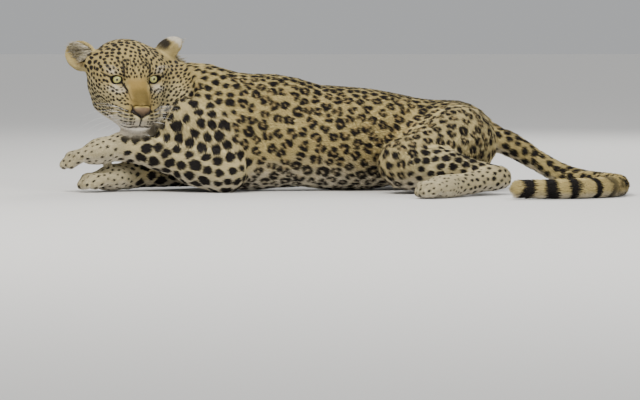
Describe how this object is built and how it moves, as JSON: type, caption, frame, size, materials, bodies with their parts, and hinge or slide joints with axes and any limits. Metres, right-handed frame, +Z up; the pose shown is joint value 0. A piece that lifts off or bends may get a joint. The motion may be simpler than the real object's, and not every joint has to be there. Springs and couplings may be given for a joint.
{
  "type": "leopard",
  "caption": "Life-size leopard lying on its belly, chin on crossed forepaws, face turned to its left side, tail curled round on the floor.",
  "frame": {"origin": "centre of the bounding box on the floor", "axes": "+X from the head's end to the tail's end, along the body; -Y towards the animal's left side, which the face is turned to; +Z up"},
  "size_m": [1.285, 0.7298, 0.3522],
  "materials": {
    "coat": "short spotted fur",
    "eyes": "glossy",
    "nose": "fine grained, slightly moist"
  },
  "bodies": {
    "root": {"belly": "coat", "chest": "coat", "ear_left": "coat", "ear_right": "coat", "eye_left": "eyes", "eye_right": "eyes", "foot_left": "coat", "foot_right": "coat", "forearm_left": "coat", "forearm_right": "coat", "head": "coat", "lower_jaw": "coat", "neck": "coat", "nose": "nose", "paw_front_left": "coat", "paw_front_right": "coat", "paw_hind_left": "coat", "paw_hind_right": "coat", "rump": "coat", "shank_left": "coat", "shank_right": "coat", "tail_1": "coat", "tail_2": "coat", "tail_3": "coat", "tail_4": "coat", "tail_5": "coat", "thigh_left": "coat", "thigh_right": "coat", "upper_arm_left": "coat", "upper_arm_right": "coat"}
  },
  "joints": []
}
